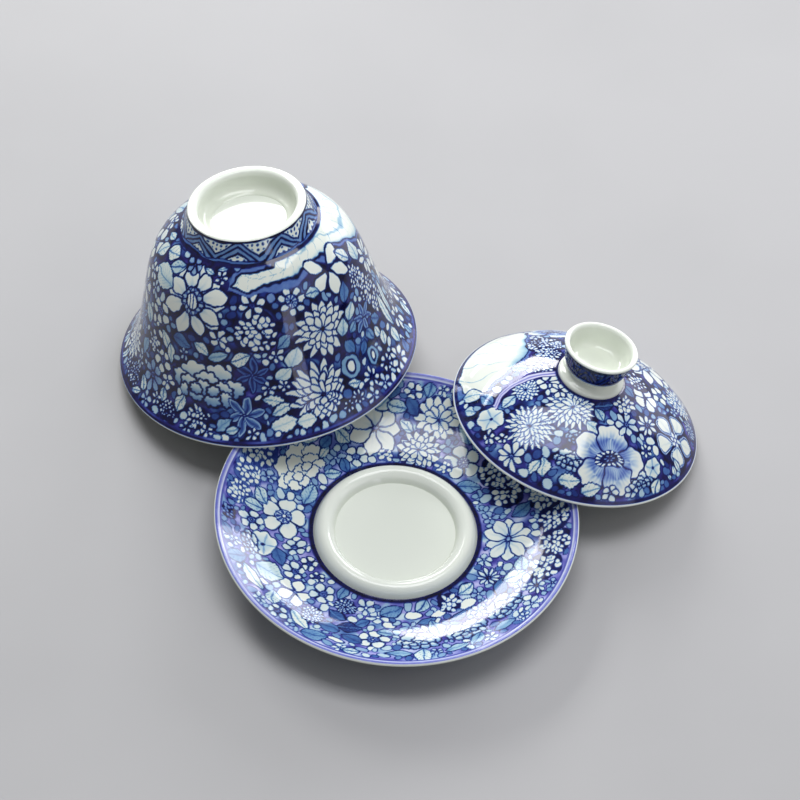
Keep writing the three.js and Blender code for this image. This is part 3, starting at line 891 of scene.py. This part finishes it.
def paint_under(rows, around):
    """The saucer's underside: looser flowers on the same ground."""
    S = Surface(rows, around, 71, ground=0.8)
    r = S.radius
    S.done[(r > 57.0) | (r < 32.5)] = TAKEN
    scatter(S, 0, UNDER_MOTIFS)
    fill_gaps(S, S.first_row(0, 32.8), S.first_row(0, 56.8), 500, 4.6, 1.1)
    S.fade(ramp(r, 56.8, 57.2), np.where(r > 58.0, 0.02, 0.66))
    S.fade(ramp(r, 32.6, 32.1), 0.9)
    return S.colours()


def zigzag(rows, around, lo, hi, turn, strip=0.42, pale=0.05, dots=0.8, seed=3):
    """Nine bends of double bars between dark lines, with dotted triangles in them."""
    repeats = 9
    S = Surface(rows, around, seed)
    t = (S.q[:, 2] - lo) / (hi - lo)
    ang = np.degrees(np.arctan2(S.q[:, 1], S.q[:, 0])) - turn
    fold = np.abs((ang / 360 * repeats) % 1.0 * 2 - 1)
    tall, half_pitch = hi - lo, math.pi * float(rows[:, 0].mean()) / repeats
    cos = 1 / math.hypot(1.0, tall * 0.7 / half_pitch)
    bar = np.abs(t - (0.03 + 0.7 * fold)) * tall * cos
    ink = 0.98 + (strip - 0.98) * ramp(np.abs(bar - 0.82), 0.56, 0.4)
    ink = ink + (pale - ink) * ramp(bar, 1.8, 1.98)
    dot_across = (fold - np.round(fold * 4) / 4) * half_pitch
    dot_up = (t - np.round(t * 4.5 - 0.5) / 4.5 - 0.11) * tall
    ink = ink + (dots - ink) * ramp(np.hypot(dot_across, dot_up), 0.6, 0.28) * ramp(bar, 2.05, 2.25)
    ink = ink + (0.98 - ink) * np.maximum(ramp(t, 0.13, 0.09), ramp(t, 0.86, 0.91))
    S.ink = ink + (0.5 - ink) * ramp(np.abs(t - 0.045), 0.05, 0.02)
    S.teal[:] = 0.35
    S.violet[:] = 0.0
    return S.colours()


def plain(rows, around, ink=0.0, pool_and_shade=0.0):
    """Unpainted glaze, with how deep it lies given for all rows or for each; deeper glaze is greener and
    darker, and in a recess it is partly painted shade.
    """
    col = np.zeros((len(rows), around, 4))
    col[..., 0] = ink
    col[..., 3] = 1.0 - np.broadcast_to(pool_and_shade, len(rows))[:, None]
    return col


def tinted(ink):
    return lambda rows, around: plain(rows, around, ink=ink)


def pooled(depth):
    return lambda rows, around: plain(rows, around, pool_and_shade=depth)


def pooled_and_shaded(depth, top, fall):
    """Glaze that deepens, greener and darker, from the height top down over the fall, to the depth: partly
    pooled glaze, partly painted shade in the recess.
    """
    return lambda rows, around: plain(rows, around, pool_and_shade=depth * np.clip((top - rows[:, 1]) / fall, 0, 1))


def painter(parts):
    """Paints each stretch of rows its own way; a count of None is all that are left."""
    def run(rows, around):
        out, k = [], 0
        for count, how in parts:
            count = len(rows) - k if count is None else count
            out.append(how(rows[k:k + count], around).reshape(count, around, 4))
            k += count
        return np.concatenate(out)
    return run


# ---------------------------------------------------------------- pieces
glaze = glaze_material("cobalt_under_glaze")
STEP = 0.36
AROUND = 1.0


def box_mm(node):
    lo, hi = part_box(node)
    return np.array(lo) / MM, np.array(hi) / MM


def settle(rows, lean, node):
    """Turn and place of a leaning piece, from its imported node's box."""
    rot = lean_matrix(lean)
    q = turned(rows, np.linspace(0, TAU, 721)) @ rot.T
    lo, hi = box_mm(node)
    at = (lo + hi) / 2 - (q.min(0) + q.max(0)) / 2
    at[2] = lo[2] - q[:, 2].min()
    return rot, at * MM


def piece(name, nodes, rows, around, paint, pose, closed_loop=False):
    """Builds a turned piece, stands it at its pose, hides its imported nodes and ties it to its body."""
    body = name.split("_")[0]
    mesh = lathe_mesh(name, rows, int(around * AROUND), paint, closed_loop)
    rot, at = pose
    stand = Matrix(rot.tolist()).to_4x4()
    stand.translation = at
    mesh.transform(stand)
    flip_if_inside_out(mesh)
    obj = bpy.data.objects.new(name, mesh)
    bpy.context.scene.collection.objects.link(obj)
    mesh.materials.append(glaze)
    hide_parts(*nodes)
    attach(obj, body)


# bowl
inside = smooth(BOWL_IN, 4.0)
lip = arc(49.7, 0.9, 0.9, 180, 360)
outside = smooth(BOWL_OUT, STEP)
bowl_rows = np.concatenate([inside, lip, outside, [[20.0, 55.4], [12.0, 55.4], [0.0, 55.4]]])
bowl_pose = settle(bowl_rows, BOWL_LEAN, "bowl_wall")
bowl_paint = painter([(len(inside) - 1, pooled(0.05)), (len(lip), tinted(0.03)),
                      (len(outside), paint_bowl), (None, pooled(0.1))])
piece("bowl_wall_glazed", ["bowl_wall"], bowl_rows, 860, bowl_paint, bowl_pose)

# bowl foot
foot_out = smooth([(23.4, 54.35), (22.5, 55.2), (21.75, 56.1), (21.2, 57.2), (20.5, 59.0),
                   (19.85, 60.8), (19.5, 61.95)], 0.3)
foot_top = catmull([(19.5, 61.95), (19.3, 62.2), (18.8, 62.32), (17.9, 62.32), (17.0, 62.2),
                    (16.4, 61.7), (16.1, 60.8)], 18)[1:]
foot_in = catmull([(16.1, 60.8), (15.9, 58.8), (15.3, 57.2), (14.2, 56.2), (12.6, 55.65),
                   (12.0, 55.0)], 16)[1:]
foot_rows = np.concatenate([foot_out, foot_top, foot_in, [[14.0, 54.6], [20.0, 54.6]]])


def paint_foot(rows, around):
    return zigzag(rows, around, 54.9, 62.0, 266.6)


# Inside the foot ring the glaze greens and darkens towards the floor: pooled glaze and painted shade.
foot_paint = painter([(len(foot_out), paint_foot), (len(foot_top), plain), (None, pooled_and_shaded(0.35, 61.5, 5))])
piece("bowl_foot_glazed", ["bowl_foot_ring"], foot_rows, 480, foot_paint, bowl_pose, True)

# lid
inside = smooth(LID_IN, 4.0)
lip = arc(41.45, 0.85, 0.85, 180, 360)
outside = smooth(LID_OUT, STEP * 0.92)
lid_rows = np.concatenate([inside, lip, outside, [[9.0, 19.3], [4.0, 19.3], [0.0, 19.3]]])
lid_pose = settle(lid_rows, LID_LEAN, "lid_dome")
lid_paint = painter([(len(inside) - 1, pooled(0.05)), (len(lip), tinted(0.04)),
                     (len(outside), paint_lid), (None, plain)])
piece("lid_dome_glazed", ["lid_dome"], lid_rows, 800, lid_paint, lid_pose)

# lid collar
collar = catmull([(10.0, 18.9), (11.1, 19.2), (11.25, 19.9), (10.9, 20.5), (10.0, 21.0), (9.1, 21.7),
                  (8.8, 22.6), (8.8, 22.9)], 30)
collar_rows = np.concatenate([[[0.0, 18.9]], collar, [[0.0, 22.9]]])
# The collar's waist greens and darkens up under the knob: pooled glaze and painted shade.
piece("lid_collar_glazed", ["lid_knob_collar"], collar_rows, 320, pooled_and_shaded(0.25, 20.5, -2), lid_pose)

# lid knob
knob_low = catmull([(8.85, 22.72), (9.4, 23.3), (10.0, 24.0)], 8)
knob_band = smooth([(10.0, 24.0), (10.8, 26.3), (11.5, 28.8), (12.15, 31.2), (12.3, 31.7)], 0.3)[1:]
knob_top = catmull([(12.3, 31.7), (12.45, 32.1), (12.2, 32.45), (11.6, 32.55), (10.95, 32.35),
                    (10.5, 31.7)], 16)[1:]
knob_in = catmull([(10.5, 31.7), (10.1, 29.5), (9.4, 27.2), (8.4, 25.9), (6.8, 25.3), (3.0, 25.15)], 24)[1:]
knob_rows = np.concatenate([[[0.0, 22.72]], knob_low, knob_band, knob_top, knob_in, [[0.0, 25.12]]])


def paint_knob(rows, around):
    return zigzag(rows, around, 24.1, 31.9, 250, strip=0.8, pale=0.92, dots=0.6, seed=7)


# Inside the knob's cup the glaze greens and darkens downwards: pooled glaze and painted shade.
knob_paint = painter([(len(knob_low), plain), (len(knob_band), paint_knob), (len(knob_top), plain),
                      (None, pooled_and_shaded(0.3, 31.5, 6))])
piece("lid_knob_glazed", ["lid_knob"], knob_rows, 360, knob_paint, lid_pose)

# saucer
under = smooth(SAUCER_UNDER, STEP)
lip = arc(58.35, 14.75, 0.63, -35, 140)
inside = smooth(SAUCER_IN, STEP)
saucer_rows = np.concatenate([[[0.0, 2.2], [12.0, 2.2], [26.0, 2.2]], under, lip, inside,
                              [[24.0, 4.6], [20.6, 4.6], [19.6, 4.6], [16.0, 4.6], [8.0, 4.6], [0.0, 4.6]]])
lo, hi = box_mm("saucer_foot_ring")
saucer_at = np.array([(lo[0] + hi[0]) / 2, (lo[1] + hi[1]) / 2, 0.0]) * MM
flat = (np.eye(3), saucer_at)
saucer_paint = painter([(2, plain), (len(under), paint_under), (len(lip), paint_saucer_lip),
                        (len(inside), paint_saucer), (None, pooled(0.06))])
piece("saucer_dish_glazed", ["saucer_dish"], saucer_rows, 960, saucer_paint, flat)

# saucer seat and foot
seat = catmull([(19.3, 4.4), (19.75, 4.75), (20.2, 5.5), (20.9, 6.5), (22.0, 7.3), (23.3, 7.7),
                (24.6, 7.4), (25.6, 6.6), (26.3, 5.5), (26.7, 4.7), (26.9, 4.4)], 60)
seat_rows = np.concatenate([seat, [[24.0, 4.2], [21.5, 4.2]]])
# The seat ring greens and darkens towards its base: pooled glaze and painted shade.
piece("saucer_seat_glazed", ["saucer_seat_ring"], seat_rows, 420, pooled_and_shaded(0.4, 6.4, 2), flat, True)
base_rows = rounded([(27.6, 0.0), (30.3, 0.0), (31.0, 2.3), (26.7, 2.3)], 0.5)
piece("saucer_foot_glazed", ["saucer_foot_ring"], base_rows, 420, pooled(0.1), flat, True)

# ---------------------------------------------------------------- stage, lights, camera
floor_mat, tree = node_tree("pale_floor")
out = add(tree, "ShaderNodeOutputMaterial")
bsdf = add(tree, "ShaderNodeBsdfPrincipled")
bsdf.inputs["Roughness"].default_value = 0.6
cloud = add(tree, "ShaderNodeTexNoise", Scale=35.0, Detail=4.0)
grey = colour_ramp(tree, cloud.outputs["Fac"], (0.3, 0.7), [(0.375, 0.375, 0.375), (0.42, 0.42, 0.42)])
tree.links.new(grey, bsdf.inputs["Base Color"])
tree.links.new(bsdf.outputs["BSDF"], out.inputs["Surface"])
floor_mesh = bpy.data.meshes.new("floor")
floor_mesh.from_pydata([(-3, -3, 0), (3, -3, 0), (3, 3, 0), (-3, 3, 0)], [], [(0, 1, 2, 3)])
floor = bpy.data.objects.new("floor", floor_mesh)
floor_mesh.materials.append(floor_mat)
bpy.context.scene.collection.objects.link(floor)

world = bpy.data.worlds.new("studio")
bpy.context.scene.world = world
world.use_nodes = True
world.node_tree.nodes["Background"].inputs["Color"].default_value = (0.97, 0.98, 1.0, 1.0)
world.node_tree.nodes["Background"].inputs["Strength"].default_value = 0.27
bpy.context.scene.view_settings.view_transform = "Standard"

DAYLIGHT = (1.0, 1.0, 1.0)
COOL = (0.96, 0.96, 1.0)
LILAC = (0.9, 0.88, 1.0)


def softbox(name, azimuth, elevation, width, height, power, colour, spin=0.0, distance=1.6):
    """A rectangular area light aimed at the saucer. Azimuth 0 is behind it, positive to the right."""
    light = bpy.data.lights.new(name, "AREA")
    light.shape = "RECTANGLE"
    light.size, light.size_y = width, height
    light.energy = power
    light.color = colour
    obj = bpy.data.objects.new(name, light)
    a, e = math.radians(azimuth), math.radians(elevation)
    level = distance * math.cos(e)
    obj.location = (level * math.sin(a), level * math.cos(a), distance * math.sin(e))
    aim = (-obj.location).to_track_quat("-Z", "Y").to_matrix() @ Matrix.Rotation(math.radians(spin), 3, "Z")
    obj.rotation_euler = aim.to_euler()
    bpy.context.scene.collection.objects.link(obj)


softbox("overhead", 10, 80, 1.2, 0.7, 16.5, COOL)
softbox("window_left", -20, 27, 1.05, 0.34, 16, DAYLIGHT, spin=27)
softbox("window_left_edge", -41, 36, 0.25, 0.05, 0.6, DAYLIGHT, spin=10)
softbox("window_left_low", -22, 4, 0.6, 0.2, 1.6, DAYLIGHT)
softbox("window_right", 24, 19, 0.8, 0.42, 7.5, (0.97, 0.97, 1.0), spin=-15)
softbox("wall_right", 46, 14, 0.8, 0.8, 4.5, LILAC)
softbox("front_window", 146, 12, 0.34, 0.75, 1.9, LILAC)
softbox("front_fill", 105, 40, 1.3, 0.9, 3.5, COOL, distance=1.8)

ELEVATION, ROLL, DISTANCE = 51.07, 5.1, 0.9516
e, roll = math.radians(ELEVATION), math.radians(ROLL)
forward = np.array([0.0, math.cos(e), -math.sin(e)])
side = np.array([1.0, 0.0, 0.0])
rise = np.cross(side, forward)
right = math.cos(roll) * side + math.sin(roll) * rise
up = -math.sin(roll) * side + math.cos(roll) * rise
target = saucer_at + np.array([-2.3, 58.7, 0.0]) * MM
cam = bpy.data.cameras.new("camera")
cam.sensor_width, cam.lens = 36.0, 126.0
cam.clip_start, cam.clip_end = 0.01, 50.0
cam_obj = bpy.data.objects.new("camera", cam)
axes = np.column_stack([right, up, -forward, target - forward * DISTANCE])
cam_obj.matrix_world = Matrix(axes.tolist() + [[0.0, 0.0, 0.0, 1.0]])
bpy.context.scene.collection.objects.link(cam_obj)
bpy.context.scene.camera = cam_obj
